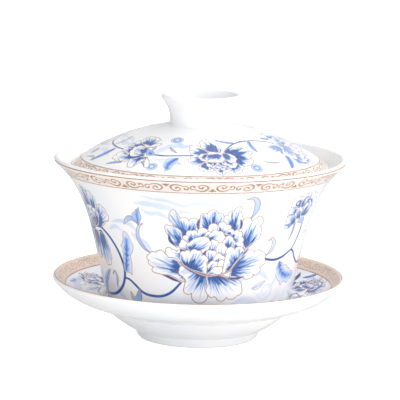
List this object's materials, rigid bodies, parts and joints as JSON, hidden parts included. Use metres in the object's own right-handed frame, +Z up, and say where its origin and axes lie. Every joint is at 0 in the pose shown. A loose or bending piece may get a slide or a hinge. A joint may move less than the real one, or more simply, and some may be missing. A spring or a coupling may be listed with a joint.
{
  "type": "gaiwan",
  "caption": "Lidded porcelain tea bowl with a flared mouth, resting on its own well saucer, with a domed lid and an open ring knob, painted with blue peonies.",
  "frame": {"origin": "centre of the table plane that the saucer's foot ring stands on", "axes": "+Z up along the common axis of saucer, bowl and lid; -Y is the painted front"},
  "size_m": [0.102, 0.102, 0.0855],
  "materials": {
    "glaze": "clear gloss glaze on white porcelain",
    "blue_painting": "cobalt blue transfer painting under gloss glaze",
    "scroll_band": "cream enamel with copper-gold scrolls, fired on the glaze",
    "gilding": "thin fired copper-gold lustre line"
  },
  "bodies": {
    "saucer": {"saucer": "glaze"},
    "bowl": {"bowl": "glaze"},
    "lid": {"lid": "glaze", "lid_knob": "glaze"}
  },
  "joints": [
    {"name": "bowl_lift", "type": "slide", "parent": "saucer", "child": "bowl", "axis": [0, 0, 1], "range_m": [0, 0.04]},
    {"name": "lid_lift", "type": "slide", "parent": "bowl", "child": "lid", "axis": [0, 0, 1], "range_m": [0, 0.04]}
  ]
}
